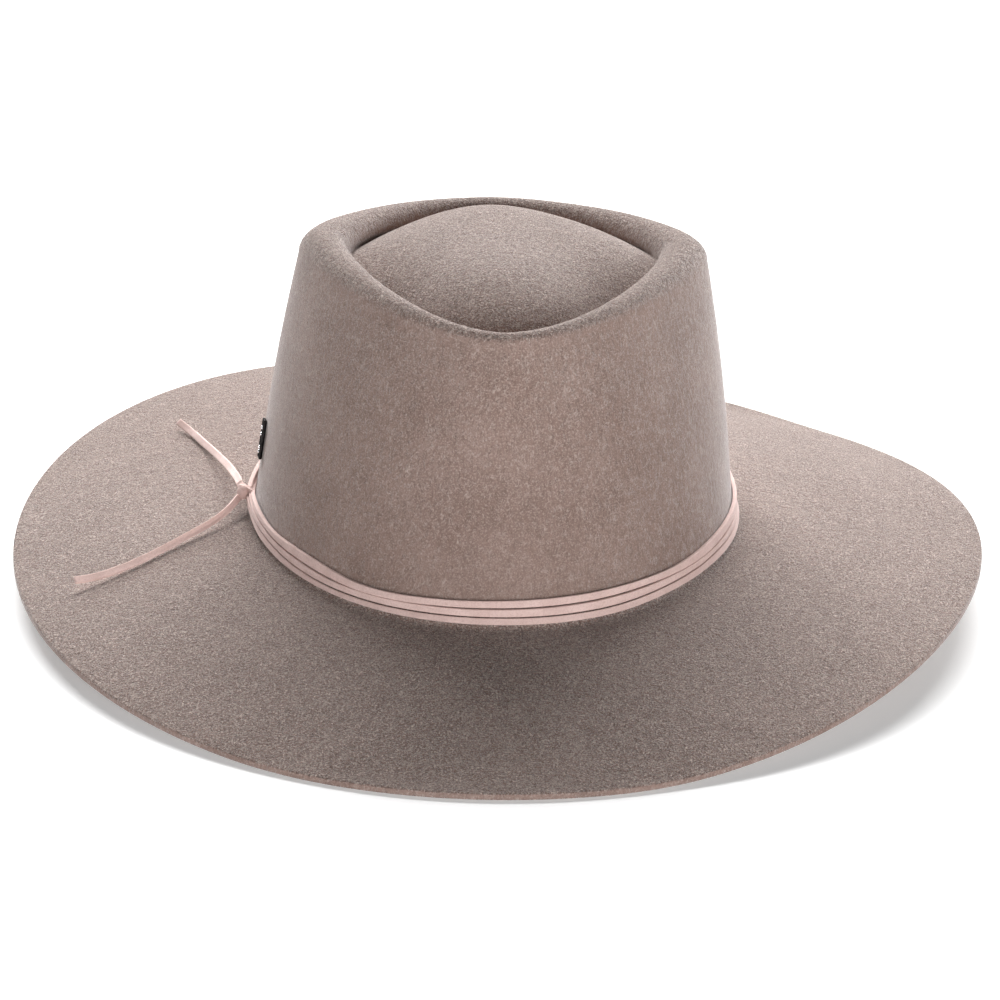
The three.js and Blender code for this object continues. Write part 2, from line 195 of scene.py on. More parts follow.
# Colours, as linear red, green and blue
FELT_DARK = (0.232, 0.16, 0.136, 1)
FELT_LIGHT = (0.31, 0.222, 0.193, 1)
FELT_WARM = (0.31, 0.206, 0.174, 1)
FELT_DEEP = (0.088, 0.052, 0.04, 1)
# Light fibres of the felt; on upward-facing felt they are strengthened as a painted glint of grazing light
FELT_PALE = (0.7, 0.58, 0.52, 1)
FELT_SHEEN = 0.6
FELT_SHEEN_ROUGHNESS = 0.3
LACE_DARK = (0.71, 0.515, 0.47, 1)
LACE_LIGHT = (0.81, 0.605, 0.56, 1)
LACE_DEEP = (0.54, 0.35, 0.315, 1)
PLATE_COLOUR = (0.022, 0.02, 0.02, 1)
PLATE_WEAR = (0.05, 0.045, 0.045, 1)
PLATE_GLANCE = (0.25, 0.24, 0.24, 1)
STUD_COLOUR = (0.86, 0.86, 0.88, 1)
STUD_WEAR = (0.7, 0.7, 0.72, 1)

# Camera
CAMERA_LENS = 153.2
CAMERA_DISTANCE = 1.5006
CAMERA_AZIMUTH = math.radians(-2.0)
CAMERA_ELEVATION = math.radians(22.46)
CAMERA_ROLL = math.radians(0.8)
CAMERA_SHIFT = (0.0064, 0.00985)

# Soft area lights: name, place, width, height and power in watts
LIGHTS = (
    ("back_high", (0, 1.7, 1.7), 2.4, 0.6, 118),
    ("back_middle", (0, 2.4, 0.9), 3.0, 0.9, 125),
    ("front_right", (1.3, -1.9, 1.1), 1.0, 1.0, 3),
    ("front_low", (0.45, -2.25, 0.45), 1.2, 0.7, 33),
)
LIGHTS_AIM = Vector((0, 0, 0.05))
WORLD_STRENGTH = 0.015
FLOOR_COLOUR = (0.86, 0.86, 0.86, 1)
FLOOR_GLOW = 0.28


def mix(low, high, share):
    return low + (high - low) * share


def blend(row, turn):
    """A row's value at a turn, blended from its sides and ends."""
    side = np.where(np.cos(turn) >= 0, row["left"], row["right"])
    end = np.where(np.sin(turn) < 0, row["front"], row["back"])
    return mix(side, end, np.sin(turn) ** 2)


def oval(row, turn):
    """Points of an oval with its own reach to each side, in plan round the crown's middle."""
    c, s = np.cos(turn), np.sin(turn)
    across = np.where(c >= 0, row["left"], row["right"]) * np.abs(c) ** (2 / row["across"])
    along = np.where(s < 0, row["front"], row["back"]) * np.abs(s) ** (2 / row["along"])
    return np.stack([np.sign(c) * across, np.sign(s) * along], axis=-1)


def crown_oval(name, turn):
    """An oval of the crown, its points at the sides rounded off as felt is."""
    nearby = np.radians(np.linspace(-POINT_REACH, POINT_REACH, POINT_STEPS))
    weights = np.hanning(POINT_STEPS + 2)[1:-1]
    rings = np.array([oval(OVALS[name], turn + step) for step in nearby])
    return np.tensordot(weights / weights.sum(), rings, axes=1) * (HEAD_WIDTH / 2, HEAD_LENGTH / 2)


def edge_drop(turn):
    rise = sum(
        row["rise"] * np.cos(row["waves"] * (turn - math.radians(row["crest"]))) for row in BRIM_WAVES
    )
    return BRIM_DROP * (1 - rise)


REST_DROP = edge_drop(np.radians(np.arange(360))).max() - REST_PRESS
BREAK_HEIGHT = FELT + REST_DROP
CROWN_MIDDLE = np.array([
    BRIM_WIDTH * (BRIM_REACH["right"] - BRIM_REACH["left"]) / 2,
    BRIM_WIDTH * (BRIM_REACH["front"] - BRIM_REACH["back"]) / 2,
])


def place(plan, height):
    """Points of the hat from their plan round the crown's middle and their height over the break."""
    height = np.broadcast_to(height, plan.shape[:-1])
    return np.concatenate([plan + CROWN_MIDDLE, (height + BREAK_HEIGHT)[..., None]], axis=-1)


def crown_plan(turn):
    foot, ridge, crease = (crown_oval(name, turn) for name in ("foot", "ridge", "crease"))
    out = foot - crease
    out = out / np.linalg.norm(out, axis=-1, keepdims=True)
    roll = FELT + ROLL_HOLLOW * blend(HEIGHTS["hollow"], turn)
    ridge_height = CROWN_HEIGHT * blend(HEIGHTS["ridge"], turn)
    crease_height = CROWN_HEIGHT * blend(HEIGHTS["crease"], turn) - FLANK_DROP * sum(
        np.exp(-((np.degrees(turn) % 360 - middle) / FLANK_SPAN) ** 2) for middle in FLANK_TURNS
    )
    return foot, ridge, crease, out, roll, ridge_height - roll, crease_height


def shares(rows, first=0.0, bend=1.0):
    return (np.linspace(first, 1, rows) ** bend)[:, None]


DOME_MIDDLE = np.array([DOME["left"] * HEAD_WIDTH / 2, DOME["back"] * HEAD_LENGTH / 2])
DOME_HEIGHT = CROWN_HEIGHT * DOME["height"]


def dome_rows(turn, rows):
    crease, crease_height = crown_plan(turn)[2], crown_plan(turn)[6]
    share = shares(rows + 1)[1:]
    plan = mix(DOME_MIDDLE, crease[None], share[..., None])
    fullness = DOME["fullness"] + FRONT_FULLNESS * np.clip(-np.sin(turn), 0, 1) ** 6
    return place(plan, mix(DOME_HEIGHT, crease_height[None], share**fullness))


def groove_rows(turn, rows):
    _, ridge, crease, out, roll, roll_height, crease_height = crown_plan(turn)
    inside = ridge - out * roll[:, None]
    share = shares(rows + 1)[1:]
    return place(mix(crease, inside, share[..., None]), mix(crease_height, roll_height, share))


def roll_rows(turn, rows):
    _, ridge, _, out, roll, roll_height, _ = crown_plan(turn)
    angle = math.pi * (1 - shares(rows + 1)[1:])
    plan = ridge + out * (roll * np.cos(angle))[..., None]
    return place(plan, roll_height + roll * np.sin(angle))


def wall_rows(turn, rows):
    foot, ridge, _, out, roll, roll_height, _ = crown_plan(turn)
    top = ridge + out * roll[:, None]
    share = shares(rows + 1)[1:]
    swell = WALL_SWELL * 4 * share * (1 - share)
    plan = mix(top, foot, share[..., None]) + out * swell[..., None]
    return place(plan, mix(roll_height, BREAK_RADIUS, share))


def break_rows(turn, rows):
    foot, out = crown_plan(turn)[0], crown_plan(turn)[3]
    angle = math.pi / 2 * shares(rows + 1)[1:]
    plan = foot + out * (BREAK_RADIUS * (1 - np.cos(angle)))[..., None]
    return place(plan, BREAK_RADIUS * (1 - np.sin(angle)))


def brim_edge(turn):
    row = {
        side: (HEAD_WIDTH if side in ("left", "right") else HEAD_LENGTH) / 2 + BRIM_WIDTH * share
        for side, share in BRIM_REACH.items()
    }
    return oval({**OVALS["foot"], **row}, turn)


def pressed(drop):
    """The brim's drop, softly stopped at the surface that the hat rests on."""
    over = drop - REST_DROP
    soft = (over + REST_SOFTNESS) ** 2 / (4 * REST_SOFTNESS)
    return REST_DROP + np.where(over > REST_SOFTNESS, 0, np.where(over < -REST_SOFTNESS, over, over - soft))


def brim_rows(turn, rows):
    foot, out = crown_plan(turn)[0], crown_plan(turn)[3]
    start = foot + out * BREAK_RADIUS
    share = shares(rows + 1)[1:]
    plan = mix(start, brim_edge(turn), share[..., None])
    return place(plan, -pressed(edge_drop(turn) * share**BRIM_BEND))


def grid_normals(grid):
    """Normals of a grid of rows from the middle outwards, each once round the hat."""
    along = np.gradient(grid, axis=0)
    around = np.roll(grid, -1, axis=1) - np.roll(grid, 1, axis=1)
    normal = np.cross(along, around)
    return normal / np.linalg.norm(normal, axis=-1, keepdims=True)


def new_mesh(name, points, faces):
    mesh = bpy.data.meshes.new(name)
    mesh.from_pydata([tuple(point) for point in points], [], faces)
    shell = bmesh.new()
    shell.from_mesh(mesh)
    bmesh.ops.recalc_face_normals(shell, faces=shell.faces)
    shell.to_mesh(mesh)
    shell.free()
    mesh.polygons.foreach_set("use_smooth", [True] * len(mesh.polygons))
    mesh.update()
    piece = bpy.data.objects.new(name, mesh)
    bpy.context.collection.objects.link(piece)
    return piece


def skin(rings, first=None, last=None):
    """Faces over rings of points, with a fan to a middle point at each end."""
    rows, count = rings.shape[:2]
    points = [*rings.reshape(-1, 3), first, last]
    low, high = rows * count, rows * count + 1
    faces = []
    for index in range(count):
        after = (index + 1) % count
        faces.append((low, index, after))
        faces.append((high, (rows - 1) * count + after, (rows - 1) * count + index))
        for row in range(0, (rows - 1) * count, count):
            faces.append((row + index, row + count + index, row + count + after, row + after))
    return points, faces


# Camera
def make_camera():
    target = Vector((*CROWN_MIDDLE, BREAK_HEIGHT))
    level = math.cos(CAMERA_ELEVATION)
    back = Vector((
        math.sin(CAMERA_AZIMUTH) * level,
        -math.cos(CAMERA_AZIMUTH) * level,
        math.sin(CAMERA_ELEVATION),
    ))
    data = bpy.data.cameras.new("camera")
    data.lens = CAMERA_LENS
    data.sensor_width = 36
    data.shift_x, data.shift_y = CAMERA_SHIFT
    data.clip_start, data.clip_end = 0.1, 20
    camera = bpy.data.objects.new("camera", data)
    bpy.context.collection.objects.link(camera)
    turned = (-back).to_track_quat("-Z", "Y").to_matrix() @ Matrix.Rotation(CAMERA_ROLL, 3, "Z")
    camera.matrix_world = Matrix.Translation(target + back * CAMERA_DISTANCE) @ turned.to_4x4()
    bpy.context.scene.camera = camera


make_camera()


def route_points(knots, count):
    """A smooth curve through the knots, at even steps."""
    knots = np.array(knots, float)
    ends = np.concatenate([2 * knots[:1] - knots[1:2], knots, 2 * knots[-1:] - knots[-2:-1]])
    fine = []
    for index in range(len(knots) - 1):
        a, b, c, d = ends[index:index + 4]
        t = np.linspace(0, 1, 30, endpoint=False)[:, None]
        fine.append(0.5 * (2 * b + (c - a) * t + (2 * a - 5 * b + 4 * c - d) * t**2
                           + (3 * b - a - 3 * c + d) * t**3))
    fine = np.concatenate([*fine, knots[-1:]])
    gone = np.concatenate([[0], np.cumsum(np.linalg.norm(np.diff(fine, axis=0), axis=1))])
    even = np.linspace(0, gone[-1], count)
    return np.stack([np.interp(even, gone, fine[:, axis]) for axis in range(3)], axis=-1), gone[-1]


def wander(seed, place_along, count=5):
    """Soft irregular numbers from -1 to 1 along a length in radians."""
    random = np.random.default_rng(seed)
    total = 0
    for wave in range(1, count + 1):
        rise, start = random.uniform(0.4, 1), random.uniform(0, 2 * math.pi)
        total = total + rise * np.sin(wave * place_along + start) / wave**0.5
    return total / 2.2


def unevenness(points, seed, length, waves=9):
    """Soft irregular numbers from -1 to 1 over space, of about the length given."""
    random = np.random.default_rng(seed)
    total = np.zeros(points.shape[:-1])
    for _ in range(waves):
        way = random.normal(size=3)
        way *= 2 * math.pi / (length * random.uniform(0.7, 1.5) * np.linalg.norm(way))
        total += np.sin(points @ way + random.uniform(0, 2 * math.pi))
    return total / waves**0.5 / 1.5


def lace_section(across=6, corner=3):
    """Outline of the flat lace: shares of its half width and half thickness, once round."""
    flat = LACE_WIDTH / 2 - LACE_CORNER
    low = LACE_THICKNESS / 2 - LACE_CORNER
    points = []
    for middle, start in (((flat, low), 0), ((-flat, low), 90), ((-flat, -low), 180), ((flat, -low), 270)):
        for step in range(corner + 1):
            angle = math.radians(start + 90 * step / corner)
            points.append((
                middle[0] + LACE_CORNER * math.cos(angle), middle[1] + LACE_CORNER * math.sin(angle),
            ))
        if start in (0, 180):
            side = 1 if start == 0 else -1
            for step in range(1, across):
                points.append((side * flat * (1 - 2 * step / across), side * LACE_THICKNESS / 2))
    return np.array(points) / (LACE_WIDTH / 2, LACE_THICKNESS / 2)


SECTION = lace_section()


def lace_mesh(centres, width_way, face_way, width, thickness, curl=0.0, closed=False):
    """Points and faces of a flat lace along its middle line. width_way and face_way are unit vectors."""
    count = len(centres)
    width, thickness, curl = (np.broadcast_to(row, (count,))[:, None] for row in (width, thickness, curl))
    across = SECTION[:, 0] * width / 2
    lift = SECTION[:, 1] * thickness / 2 + curl * MM * (SECTION[:, 0] ** 2 - 0.4)
    across = across * (1 - 0.12 * curl)
    rings = centres[:, None] + across[..., None] * width_way[:, None] + lift[..., None] * face_way[:, None]
    if closed:
        side = len(SECTION)
        faces = []
        for row in range(count):
            for index in range(side):
                after, start, other = (index + 1) % side, row * side, (row + 1) % count * side
                faces.append((start + index, other + index, other + after, start + after))
        return rings.reshape(-1, 3), faces
    return skin(rings, rings[0].mean(axis=0), rings[-1].mean(axis=0))


def joined(parts):
    points, faces, start = [], [], 0
    for part_points, part_faces in parts:
        points.extend(part_points)
        faces.extend(tuple(start + index for index in face) for face in part_faces)
        start += len(part_points)
    return points, faces


def node(tree, kind, inputs=None, **settings):
    """A new shader node. inputs are numbers, or sockets to link."""
    made = tree.nodes.new(kind)
    for key, value in settings.items():
        setattr(made, key, value)
    for key, value in (inputs or {}).items():
        if isinstance(value, bpy.types.NodeSocket):
            tree.links.new(value, made.inputs[key])
        else:
            made.inputs[key].default_value = value
    return made


def noise_texture(tree, where, scale, detail=2, roughness=0.5, distortion=0.0):
    return node(tree, "ShaderNodeTexNoise", {
        "Vector": where, "Scale": scale, "Detail": detail, "Roughness": roughness, "Distortion": distortion,
    }).outputs["Fac"]


def ranged(tree, value, low, high, to_low=0.0, to_high=1.0):
    return node(tree, "ShaderNodeMapRange", {
        "Value": value, "From Min": low, "From Max": high, "To Min": to_low, "To Max": to_high,
    }).outputs["Result"]


def sums(tree, operation, first, second):
    made = node(tree, "ShaderNodeMath", operation=operation)
    for index, value in enumerate((first, second)):
        if isinstance(value, bpy.types.NodeSocket):
            tree.links.new(value, made.inputs[index])
        else:
            made.inputs[index].default_value = value
    return made.outputs[0]


def colour_mix(tree, share, first, second, blend_type="MIX"):
    made = node(tree, "ShaderNodeMix", data_type="RGBA", blend_type=blend_type)
    for index, value in ((0, share), (6, first), (7, second)):
        if isinstance(value, bpy.types.NodeSocket):
            tree.links.new(value, made.inputs[index])
        else:
            made.inputs[index].default_value = value
    return made.outputs[2]


def new_material(name, **settings):
    """A material with its Principled shader and the object's own coordinates, in metres."""
    made = bpy.data.materials.new(name)
    made.use_nodes = True
    tree = made.node_tree
    shader = tree.nodes["Principled BSDF"]
    for key, value in settings.items():
        shader.inputs[key.replace("_", " ")].default_value = value
    where = tree.nodes.new("ShaderNodeTexCoord").outputs["Object"]
    return made, tree, shader, where


def bump(tree, shader, heights):
    """Bumps of real heights in metres, one over another."""
    normal = None
    for height, distance in heights:
        inputs = {"Height": height, "Distance": distance, "Strength": 1.0}
        if normal is not None:
            inputs["Normal"] = normal
        normal = node(tree, "ShaderNodeBump", inputs).outputs["Normal"]
    tree.links.new(normal, shader.inputs["Normal"])


def squiggles(tree, where, scale, width):
    """Thin curling hairs, along the level lines of a soft noise."""
    level = noise_texture(tree, where, scale, detail=1, distortion=0.6)
    off = node(tree, "ShaderNodeMath", operation="ABSOLUTE")
    tree.links.new(sums(tree, "SUBTRACT", level, 0.5), off.inputs[0])
    return ranged(tree, off.outputs[0], 0.0, width, 1.0, 0.0)


def felt_look():
    """Short brushed wool: mottled taupe, fine light and dark fibres, soft nap that runs down the crown,
    with painted glint and painted shade in flecks made stronger on upward-facing felt.
    """
    made, tree, shader, where = new_material(
        "felt_wool", Roughness=0.92, Specular_IOR_Level=0.2, Sheen_Weight=FELT_SHEEN,
        Sheen_Roughness=FELT_SHEEN_ROUGHNESS, Sheen_Tint=(0.97, 0.985, 1, 1),
    )
    drawn = node(tree, "ShaderNodeMapping", {"Vector": where, "Scale": (1, 1, 0.4)}).outputs[0]
    cloud = noise_texture(tree, where, 45, detail=3, roughness=0.55)
    mottle = noise_texture(tree, drawn, 330, detail=3, roughness=0.6)
    fibre = noise_texture(tree, drawn, 980, detail=3, roughness=0.7, distortion=0.8)
    grain = noise_texture(tree, where, 1750, detail=2, roughness=0.6)
    hair = squiggles(tree, drawn, 520, 0.035)
    other = squiggles(tree, where, 760, 0.035)
    patch = ranged(tree, noise_texture(tree, where, 450, detail=1), 0.46, 0.6)
    facing = tree.nodes.new("ShaderNodeNewGeometry").outputs["Normal"]
    level = node(tree, "ShaderNodeSeparateXYZ", {0: facing}).outputs["Z"]
    upward = node(tree, "ShaderNodeMath", {0: level}, operation="ABSOLUTE").outputs[0]
    # Upward-facing felt gets stronger pale and dark flecks and taller bumps: the flecks there are painted
    # glint and painted shade of light grazing the nap
    tops_glint_shade_and_bump = ranged(tree, upward, 0.15, 0.75, 0.6, 1.35)
    tops_glint_and_bump = ranged(tree, upward, 0.15, 0.75, 0.6, 2.2)
    patch = sums(tree, "MULTIPLY", patch, tops_glint_shade_and_bump)
    hair = sums(tree, "MULTIPLY", sums(tree, "MAXIMUM", hair, other), patch)
    tone = colour_mix(tree, ranged(tree, cloud, 0.3, 0.7), FELT_DARK, FELT_LIGHT)
    tone = colour_mix(tree, ranged(tree, mottle, 0.3, 0.7, 0.0, 0.4), tone, FELT_WARM)
    # Dark fibres, stronger on upward-facing felt as painted shade; pale grain, stronger there as painted
    # glint
    deep = sums(tree, "MULTIPLY", ranged(tree, fibre, 0.56, 0.34, 0.0, 0.5), tops_glint_shade_and_bump)
    pale = sums(tree, "MULTIPLY", ranged(tree, grain, 0.5, 0.7, 0.0, 0.5), tops_glint_and_bump)
    tone = colour_mix(tree, deep, tone, FELT_DEEP)
    tone = colour_mix(tree, pale, tone, FELT_PALE)
    tone = colour_mix(tree, sums(tree, "MULTIPLY", hair, 0.45), tone, FELT_PALE)
    mottle, fibre, grain = (sums(tree, "MULTIPLY", row, tops_glint_and_bump) for row in (mottle, fibre, grain))
    tree.links.new(tone, shader.inputs["Base Color"])
    bump(tree, shader, ((mottle, 0.4 * MM), (fibre, 0.5 * MM), (grain, 0.22 * MM), (hair, 0.12 * MM)))
    return made


def lace_look():
    """Pale pink suede: fine nap and faint blotches."""
    made, tree, shader, where = new_material(
        "suede_lace", Roughness=0.85, Specular_IOR_Level=0.25, Sheen_Weight=0.25, Sheen_Roughness=0.4,
    )
    blotch = noise_texture(tree, where, 150, detail=3)
    nap = noise_texture(tree, where, 1800, detail=3, roughness=0.65)
    tone = colour_mix(tree, ranged(tree, blotch, 0.3, 0.7), LACE_DARK, LACE_LIGHT)
    tone = colour_mix(tree, ranged(tree, nap, 0.55, 0.3, 0.0, 0.5), tone, LACE_DEEP)
    tree.links.new(tone, shader.inputs["Base Color"])
    bump(tree, shader, ((blotch, 0.25 * MM), (nap, 0.16 * MM)))
    return made


def metal_look(name, colour, roughness, wear, glance):
    """Metal with fine wear: its gloss and colour vary over small patches. glance is its edge tint."""
    made, tree, shader, where = new_material(
        name, Metallic=0.9, Specular_IOR_Level=0.5, Specular_Tint=glance,
    )
    smear = noise_texture(tree, where, 900, detail=4, roughness=0.7)
    tone = colour_mix(tree, ranged(tree, smear, 0.45, 0.75), colour, wear)
    tree.links.new(tone, shader.inputs["Base Color"])
    gloss = ranged(tree, smear, 0.3, 0.7, roughness * 0.7, roughness * 1.4)
    tree.links.new(gloss, shader.inputs["Roughness"])
    bump(tree, shader, ((smear, 0.03 * MM),))
    return made


felt_material = felt_look()
lace_material = lace_look()
plate_material = metal_look("dark_metal", PLATE_COLOUR, 0.4, PLATE_WEAR, PLATE_GLANCE)
stud_material = metal_look("bright_metal", STUD_COLOUR, 0.16, STUD_WEAR, (1, 1, 1, 1))


# Lace's loose ends
def tail_mesh(name):
    centres, length = route_points(TAIL_ROUTES[name], TAIL_STEPS)
    ahead = np.gradient(centres, axis=0)
    ahead /= np.linalg.norm(ahead, axis=1, keepdims=True)
    level = np.cross(ahead, (0, 0, 1))
    level /= np.linalg.norm(level, axis=1, keepdims=True)
    up = np.cross(level, ahead)
    share = np.linspace(0, 1, len(centres))
    tilt = np.radians(np.interp(share, np.linspace(0, 1, len(TAIL_TILTS[name])), TAIL_TILTS[name]))
    tilt = (tilt + TAIL_SWAY * wander(len(name), share * 6))[:, None]
    curl = np.interp(share, np.linspace(0, 1, len(TAIL_CURLS[name])), TAIL_CURLS[name])
    width_way = np.cos(tilt) * level + np.sin(tilt) * up
    face_way = np.cos(tilt) * up - np.sin(tilt) * level
    width = LACE_WIDTH * (1 + 0.03 * wander(7, share * 9))
    points, faces = lace_mesh(centres, width_way, face_way, width, TAIL_THICKNESS, curl)
    return points, faces, length


for end in ("back", "front"):
    points, faces, length = tail_mesh(end)
    tail = new_mesh(f"loose_end_{end}", points, faces)
    tail.data.materials.append(lace_material)
    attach(tail, "root")
    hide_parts(f"lace_tail_{end}")


# Lace round the crown
def on_wall(turn, height, stand):
    """Points of the crown's outer face at a height over the break, moved out by stand."""
    foot, ridge, _, out, roll, roll_height, _ = crown_plan(turn)
    top = ridge + out * roll[:, None]
    share = (roll_height - height) / (roll_height - BREAK_RADIUS)
    wall = mix(top, foot, share[:, None]) + out * (WALL_SWELL * 4 * share * (1 - share))[:, None]
    sine = np.clip(1 - height / BREAK_RADIUS, 0, 1)
    bend = foot + out * (BREAK_RADIUS * (1 - np.sqrt(1 - sine**2)))[:, None]
    plan = np.where((height >= BREAK_RADIUS)[:, None], wall, bend)
    return place(plan + out * np.reshape(stand, (-1, 1)), height)


def softened(values, reach=4):
    """The values with their corners rounded off over a few steps."""
    for _ in range(2):
        padded = np.pad(values, reach, mode="edge")
        values = np.convolve(padded, np.ones(2 * reach + 1) / (2 * reach + 1), mode="valid")
    return values


def lace_strand(rows, seed):
    """One strand of the lace, once round the crown."""
    rows = np.array(rows, float)
    turns = np.linspace(180.2, 539.8, STRAND_STEPS)
    low, high, stand = (
        softened(np.interp(turns, rows[:, 0], rows[:, column])) * MM for column in (1, 2, 3)
    )
    turn = np.radians(turns)
    centres = on_wall(turn, (low + high) / 2, stand)
    rise = on_wall(turn, high, stand) - on_wall(turn, low, stand)
    rise /= np.linalg.norm(rise, axis=1, keepdims=True)
    ahead = np.gradient(centres, axis=0)
    out = np.cross(ahead, rise)
    out /= np.linalg.norm(out, axis=1, keepdims=True)
    lean = (STRAND_LEAN * wander(seed, turn, 6))[:, None]
    width_way = np.cos(lean) * rise - np.sin(lean) * out
    face_way = np.cos(lean) * out + np.sin(lean) * rise
    return lace_mesh(centres, width_way, face_way, high - low, LACE_THICKNESS)


for strand, rows in enumerate(STRANDS):
    wrap = new_mesh(f"lace_turn_{strand + 1}", *lace_strand(rows, 40 + strand))
    wrap.data.materials.append(lace_material)
    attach(wrap, "root")
    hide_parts(f"lace_wrap_{strand + 1}")


# Knot: one turn of lace drawn tight round the three strands and the roots of the loose ends
def knot_mesh():
    turn = np.array([KNOT_TURN])
    wall = on_wall(turn, np.array([KNOT_HEIGHT]), 0)[0]
    middle = wall + (-COLLAR_STAND, 0, 0)
    angle = np.linspace(0, 2 * math.pi, 96, endpoint=False)
    c, s = (np.sign(wave) * np.abs(wave) ** COLLAR_SQUARE for wave in (np.cos(angle), np.sin(angle)))
    reach = -COLLAR_REACH * c
    rise = COLLAR_HEIGHT * s + COLLAR_TILT * c
    slant = COLLAR_SLANT * np.cos(angle) + COLLAR_TWIST * np.sin(2 * angle)
    loop = middle + np.stack([reach, slant, rise], axis=-1)
    ahead = np.roll(loop, -1, axis=0) - np.roll(loop, 1, axis=0)
    ahead /= np.linalg.norm(ahead, axis=1, keepdims=True)
    width_way = np.tile((0.0, 1.0, 0.0), (len(loop), 1))
    width_way -= (width_way * ahead).sum(axis=1)[:, None] * ahead
    width_way /= np.linalg.norm(width_way, axis=1, keepdims=True)
    face_way = np.cross(width_way, ahead)
    width = COLLAR_WIDTH * (1 + 0.06 * wander(3, angle, 3))
    parts = [lace_mesh(loop, width_way, face_way, width, COLLAR_THICKNESS, -0.25, closed=True)]
    lift, round_way = np.meshgrid(np.radians(np.linspace(-80, 80, 17)), angle[::3], indexing="ij")
    wide = np.cos(lift)
    fold = np.stack([wide * np.cos(round_way), np.sin(lift), wide * np.sin(round_way)], axis=-1)
    fold = fold * (1 + 0.03 * unevenness(fold, 8, 1.2)[..., None])
    fold_middle = middle + FOLD_MIDDLE
    ends = (fold_middle + (0, side * FOLD_HALF[1], 0) for side in (-1, 1))
    parts.append(skin(fold_middle + fold * FOLD_HALF, *ends))
    for end, slope in (("back", 1), ("front", -1)):
        start = np.array(TAIL_ROUTES[end][0])
        after = np.array(TAIL_ROUTES[end][1])
        ahead = (after - start) / np.linalg.norm(after - start)
        inside = middle + (-1.2 * MM, -0.9 * MM * slope, 0.5 * MM * slope)
        root, _ = route_points([inside, mix(inside, start, 0.55), start + 0.3 * MM * ahead], 24)
        ways = np.gradient(root, axis=0)
        ways /= np.linalg.norm(ways, axis=1, keepdims=True)
        level = np.cross(ways, (0, 0, 1))
        level /= np.linalg.norm(level, axis=1, keepdims=True)
        up = np.cross(level, ways)
        tilt = math.radians(TAIL_TILTS[end][0])
        width_way = math.cos(tilt) * level + math.sin(tilt) * up
        face_way = math.cos(tilt) * up - math.sin(tilt) * level
        parts.append(lace_mesh(
            root, width_way, face_way, LACE_WIDTH * 0.97, TAIL_THICKNESS, TAIL_CURLS[end][0],
        ))
    return joined(parts)


knot = new_mesh("knot", *knot_mesh())
knot.data.materials.append(lace_material)
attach(knot, "root")
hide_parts("lace_knot")

# Felt
def edge_rows(turn):
    """The brim's cut edge from its top to its bottom corner, with both corners softly rounded."""
    before, top = brim_rows(turn, ROWS["brim"])[-2:]
    inward = top - before
    inward[:, 2] = 0
    inward /= -np.linalg.norm(inward, axis=1, keepdims=True)
    rows = []
    for corner, sign in ((EDGE_ROUND, 1), (FELT - EDGE_ROUND, -1)):
        for share in np.linspace(0, 1, EDGE_STEPS):
            angle = math.pi / 2 * (share if sign == 1 else 1 - share)
            back = EDGE_ROUND * (1 - math.sin(angle))
            down = corner - sign * EDGE_ROUND * math.cos(angle)
            rows.append(top + inward * back - (0, 0, down))
    return np.array(rows)


def felt_body():
    turn = np.arange(SEGMENTS) * 2 * math.pi / SEGMENTS
    crown = np.concatenate([
        dome_rows(turn, ROWS["dome"]), groove_rows(turn, ROWS["groove"]), roll_rows(turn, ROWS["roll"]),
        wall_rows(turn, ROWS["wall"]), break_rows(turn, ROWS["bend"]),
    ])
    brim = brim_rows(turn, ROWS["brim"])[:-1]
    outer = np.concatenate([crown, brim])
    normal = grid_normals(outer)
    free = np.clip((outer[..., 2] - FELT) / UNEVEN_START, 0, 1)
    outer = outer + normal * (UNEVEN_RISE * free * unevenness(outer, 5, UNEVEN_LENGTH))[..., None]
    under = outer - FELT * grid_normals(outer)
    under[len(crown):] = outer[len(crown):] - (0, 0, FELT)
    top = outer[0].mean(axis=0)
    rings = np.concatenate([outer, edge_rows(turn), under[::-1]])
    points, faces = skin(rings, top, top - (0, 0, FELT))
    return new_mesh("felt", points, faces)


felt = felt_body()
felt.data.materials.append(felt_material)
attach(felt, "root")
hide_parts("felt_body")

# Small metal plate with four studs, edge-on over the knot
def plate_frame():
    """Middle of the plate's back face, and its ways out of the wall, up it and round the crown."""
    turn = np.full(3, PLATE_TURN)
    low, middle, high = on_wall(turn, PLATE_MIDDLE + np.array([-4, 0, 4]) * MM, PLATE_STAND)
    up = (high - low) / np.linalg.norm(high - low)
    way = crown_plan(turn)[3][0]
    side = np.array([-way[1], way[0], 0.0])
    return middle, np.cross(side, up), up, side


def rounded_outline(width, height, corner, steps=8):
    points = []
    for x, y, start in ((1, 1, 0), (-1, 1, 90), (-1, -1, 180), (1, -1, 270)):
        for step in range(steps + 1):
            angle = math.radians(start + 90 * step / steps)
            points.append((
                x * (width / 2 - corner) + corner * math.cos(angle),
                y * (height / 2 - corner) + corner * math.sin(angle),
            ))
    return np.array(points)


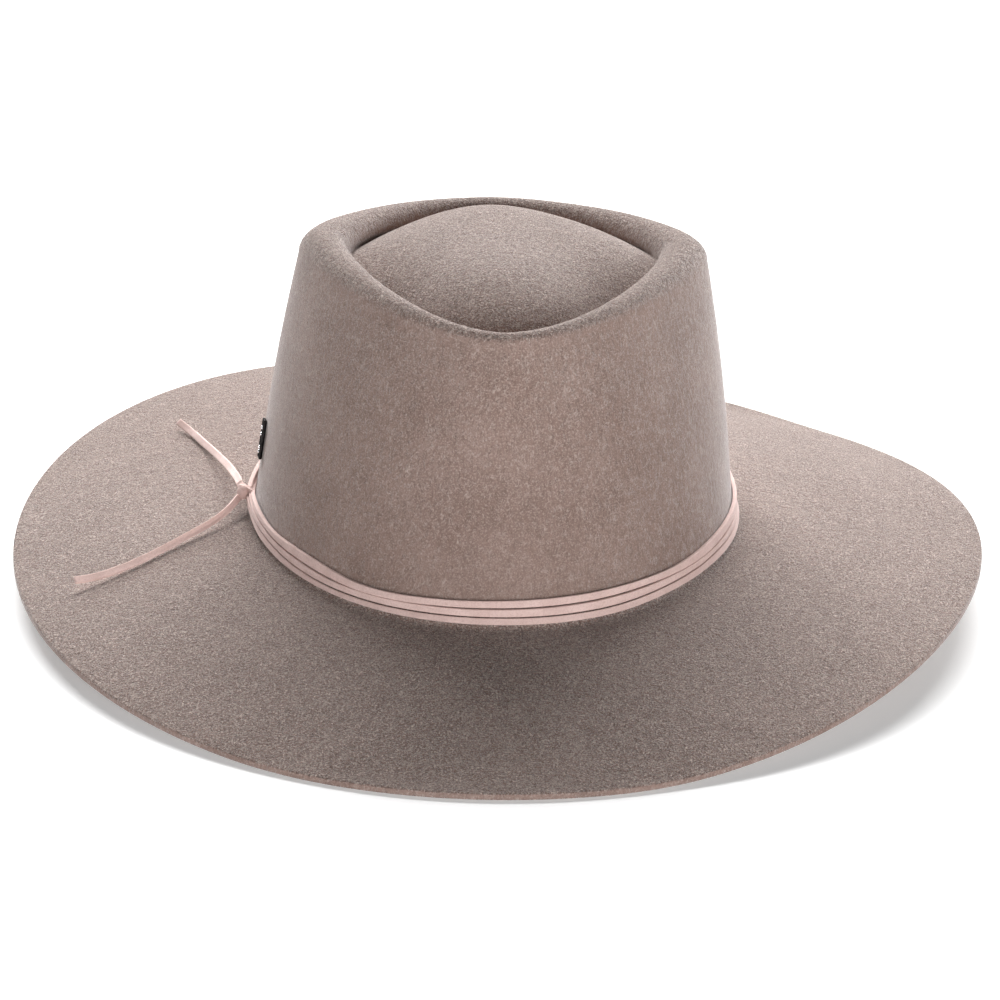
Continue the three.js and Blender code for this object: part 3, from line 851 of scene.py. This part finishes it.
def plate_mesh():
    middle, out, up, side = plate_frame()
    rings = []
    inset = PLATE_FRAME + PLATE_SINK
    for shrink, rise in (
        (PLATE_BEVEL, 0),
        (0, PLATE_BEVEL),
        (0, PLATE_THICKNESS - PLATE_BEVEL),
        (PLATE_BEVEL * 0.35, PLATE_THICKNESS - PLATE_BEVEL * 0.35),
        (PLATE_BEVEL, PLATE_THICKNESS),
        (PLATE_FRAME, PLATE_THICKNESS),
        (PLATE_FRAME + PLATE_SINK * 0.4, PLATE_THICKNESS - PLATE_SINK * 0.2),
        (inset, PLATE_THICKNESS - PLATE_SINK),
    ):
        outline = rounded_outline(
            PLATE_WIDTH - 2 * shrink, PLATE_HEIGHT - 2 * shrink, max(PLATE_CORNER - shrink, 0.25 * MM)
        )
        rings.append(middle + outline[:, :1] * side + outline[:, 1:] * up + rise * out)
    return skin(np.array(rings), rings[0].mean(axis=0), rings[-1].mean(axis=0))


def studs_mesh():
    middle, out, up, side = plate_frame()
    stud_height = STUD_RISE + PLATE_SINK
    parts = []
    angle = np.linspace(0, 2 * math.pi, 24, endpoint=False)
    for share in STUD_PLACES:
        base = middle + (PLATE_THICKNESS - PLATE_SINK) * out + (share - 0.5) * PLATE_HEIGHT * up
        rings = []
        for radius, rise in ((1, 0), (1, 0.35), (0.94, 0.6), (0.8, 0.82), (0.55, 0.95), (0.25, 1)):
            round_way = np.cos(angle)[:, None] * side + np.sin(angle)[:, None] * up
            rings.append(base + STUD_RADIUS * radius * round_way + stud_height * rise * out)
        parts.append(skin(np.array(rings), base, base + stud_height * 1.01 * out))
    return joined(parts)


for name, mesh, look in (
    ("plate", plate_mesh(), plate_material), ("plate_studs", studs_mesh(), stud_material),
):
    piece = new_mesh(name, *mesh)
    piece.data.materials.append(look)
    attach(piece, "root")
    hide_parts("side_plate")

# Stage
bpy.ops.mesh.primitive_plane_add(size=30)
floor = bpy.context.object
floor.name = "floor"
floor_material = new_material(
    "pale_floor", Base_Color=FLOOR_COLOUR, Roughness=0.9, Emission_Color=(1, 1, 1, 1),
    Emission_Strength=FLOOR_GLOW,
)[0]
floor.data.materials.append(floor_material)

world = bpy.context.scene.world or bpy.data.worlds.new("world")
bpy.context.scene.world = world
world.use_nodes = True
world.node_tree.nodes["Background"].inputs["Color"].default_value = (1, 1, 1, 1)
world.node_tree.nodes["Background"].inputs["Strength"].default_value = WORLD_STRENGTH
bpy.context.scene.view_settings.view_transform = "Standard"


def soft_light(name, location, width, height, power):
    data = bpy.data.lights.new(name, "AREA")
    data.shape = "RECTANGLE"
    data.size, data.size_y = width, height
    data.energy = power
    light = bpy.data.objects.new(name, data)
    light.location = location
    light.rotation_euler = (LIGHTS_AIM - Vector(location)).to_track_quat("-Z", "Y").to_euler()
    light.visible_camera = False
    bpy.context.collection.objects.link(light)


for row in LIGHTS:
    soft_light(*row)
